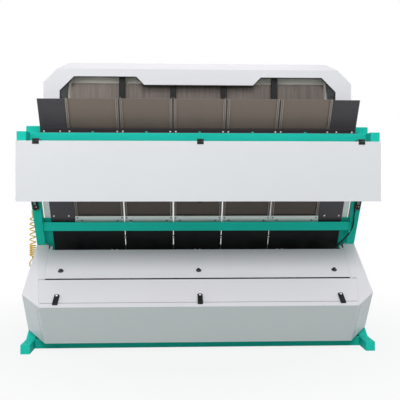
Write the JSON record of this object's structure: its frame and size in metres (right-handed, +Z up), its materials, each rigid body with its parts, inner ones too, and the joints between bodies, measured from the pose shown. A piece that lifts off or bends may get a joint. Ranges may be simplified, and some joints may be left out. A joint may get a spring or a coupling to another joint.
{
  "type": "optical colour sorter",
  "caption": "Chute-fed optical colour sorter with a green frame, white hoods, inclined chutes, vibrating feeders, a lift-up door and a hinged lid and hatch.",
  "frame": {"origin": "middle of the machine's footprint on the floor", "axes": "+X along the machine, +Y from the service side to the operator side, +Z up"},
  "size_m": [2.3815, 1.52, 1.951],
  "materials": {
    "white_paint": "semi_gloss",
    "green_paint": "semi_gloss",
    "dark_paint": "satin",
    "chute_steel": "satin",
    "stainless": "satin",
    "pale_plate": "satin",
    "black_plastic": "matte",
    "white_plastic": "matte",
    "red_plastic": "gloss",
    "cable_rubber": "matte",
    "hose_plastic": "gloss",
    "brass": "satin",
    "glass": "gloss",
    "screen": "gloss"
  },
  "bodies": {
    "frame": {"side_frame_left": "green_paint", "side_frame_right": "green_paint", "upper_beams": "green_paint", "mid_beam_rear": "green_paint", "base_beams": "green_paint", "feeder_deck": "green_paint", "chamber_end_plates": "stainless", "hopper_walls": "stainless", "hopper_dividers": "stainless", "hopper_front_plates": "stainless", "ejector_block": "stainless", "product_outlets": "stainless", "chute_screws": "stainless", "chute_1": "chute_steel", "chute_2": "chute_steel", "chute_3": "chute_steel", "chute_4": "chute_steel", "chute_5": "chute_steel", "chute_side_plates": "dark_paint", "chute_top_angle": "dark_paint", "feeder_drives": "dark_paint", "rear_hood_bars": "dark_paint", "optics_boxes": "dark_paint", "chute_tail_plates": "black_plastic", "hopper_posts": "black_plastic", "door_hinges": "black_plastic", "switch_boxes": "black_plastic", "chute_clamp_plates": "pale_plate", "header_hood": "white_paint", "rear_hood_panel": "white_paint", "rear_hood_cheeks": "white_paint", "front_hood": "white_paint", "front_fascia": "white_paint", "switch_cable": "cable_rubber", "hose_coil": "hose_plastic", "hose_tail": "hose_plastic", "hose_fittings": "brass", "optics_windows": "glass", "touch_screen": "screen"},
    "rear_lid": {"rear_lid": "white_paint"},
    "rear_hatch": {"rear_hatch": "white_paint", "hatch_latches": "black_plastic"},
    "rear_door": {"rear_door": "white_paint"},
    "window_wiper": {"window_wiper": "black_plastic"},
    "front_lid": {"front_lid": "white_paint"},
    "front_hatch": {"front_hatch": "white_paint"},
    "stop_button": {"stop_button": "red_plastic"},
    "feeder_tray_1": {"feeder_tray_1": "stainless"},
    "feeder_tray_2": {"feeder_tray_2": "stainless"},
    "feeder_tray_3": {"feeder_tray_3": "stainless"},
    "feeder_tray_4": {"feeder_tray_4": "stainless"},
    "feeder_tray_5": {"feeder_tray_5": "stainless"},
    "lid_knob_1": {"lid_knob_1": "black_plastic"},
    "lid_knob_2": {"lid_knob_2": "black_plastic"},
    "lid_knob_3": {"lid_knob_3": "black_plastic"},
    "latch_key_1": {"latch_key_1": "white_plastic"},
    "latch_key_2": {"latch_key_2": "white_plastic"},
    "latch_key_3": {"latch_key_3": "white_plastic"}
  },
  "joints": [
    {"name": "rear_door_swing", "type": "hinge", "parent": "frame", "child": "rear_door", "pos_m": [0, -0.722, 1.388], "axis": [-1, 0, 0], "range_deg": [0, 85]},
    {"name": "rear_lid_swing", "type": "hinge", "parent": "frame", "child": "rear_lid", "pos_m": [0, -0.1939, 0.6278], "axis": [-1, 0, 0], "range_deg": [0, 58]},
    {"name": "rear_hatch_swing", "type": "hinge", "parent": "frame", "child": "rear_hatch", "pos_m": [0, -0.51607, 0.44995], "axis": [-1, 0, 0], "range_deg": [0, 75]},
    {"name": "lid_knob_1_turn", "type": "hinge", "parent": "rear_lid", "child": "lid_knob_1", "pos_m": [-0.941, -0.4282, 0.51216], "axis": [0, -0.4833, 0.8755], "range_deg": [0, 90]},
    {"name": "lid_knob_2_turn", "type": "hinge", "parent": "rear_lid", "child": "lid_knob_2", "pos_m": [0, -0.4282, 0.51216], "axis": [0, -0.4833, 0.8755], "range_deg": [0, 90]},
    {"name": "lid_knob_3_turn", "type": "hinge", "parent": "rear_lid", "child": "lid_knob_3", "pos_m": [0.941, -0.4282, 0.51216], "axis": [0, -0.4833, 0.8755], "range_deg": [0, 90]},
    {"name": "latch_key_1_turn", "type": "hinge", "parent": "rear_hatch", "child": "latch_key_1", "pos_m": [-0.92, -0.67245, 0.37733], "axis": [0, -0.4833, 0.8755], "range_deg": [0, 90]},
    {"name": "latch_key_2_turn", "type": "hinge", "parent": "rear_hatch", "child": "latch_key_2", "pos_m": [0, -0.67245, 0.37733], "axis": [0, -0.4833, 0.8755], "range_deg": [0, 90]},
    {"name": "latch_key_3_turn", "type": "hinge", "parent": "rear_hatch", "child": "latch_key_3", "pos_m": [0.92, -0.67245, 0.37733], "axis": [0, -0.4833, 0.8755], "range_deg": [0, 90]},
    {"name": "feeder_1_shake", "type": "slide", "parent": "frame", "child": "feeder_tray_1", "axis": [0, 1, 0], "range_m": [-0.001, 0.001], "stiffness_N_per_m": 200000},
    {"name": "feeder_2_shake", "type": "slide", "parent": "frame", "child": "feeder_tray_2", "axis": [0, 1, 0], "range_m": [-0.001, 0.001], "stiffness_N_per_m": 200000},
    {"name": "feeder_3_shake", "type": "slide", "parent": "frame", "child": "feeder_tray_3", "axis": [0, 1, 0], "range_m": [-0.001, 0.001], "stiffness_N_per_m": 200000},
    {"name": "feeder_4_shake", "type": "slide", "parent": "frame", "child": "feeder_tray_4", "axis": [0, 1, 0], "range_m": [-0.001, 0.001], "stiffness_N_per_m": 200000},
    {"name": "feeder_5_shake", "type": "slide", "parent": "frame", "child": "feeder_tray_5", "axis": [0, 1, 0], "range_m": [-0.001, 0.001], "stiffness_N_per_m": 200000},
    {"name": "wiper_travel", "type": "slide", "parent": "frame", "child": "window_wiper", "axis": [1, 0, 0], "range_m": [0, 1.76]},
    {"name": "front_lid_swing", "type": "hinge", "parent": "frame", "child": "front_lid", "pos_m": [0, 0.1939, 0.6278], "axis": [1, 0, 0], "range_deg": [0, 58]},
    {"name": "front_hatch_swing", "type": "hinge", "parent": "frame", "child": "front_hatch", "pos_m": [0, 0.51607, 0.44995], "axis": [1, 0, 0], "range_deg": [0, 75]},
    {"name": "stop_button_push", "type": "slide", "parent": "frame", "child": "stop_button", "axis": [0, -1, 0], "range_m": [0, 0.005], "stiffness_N_per_m": 800}
  ]
}
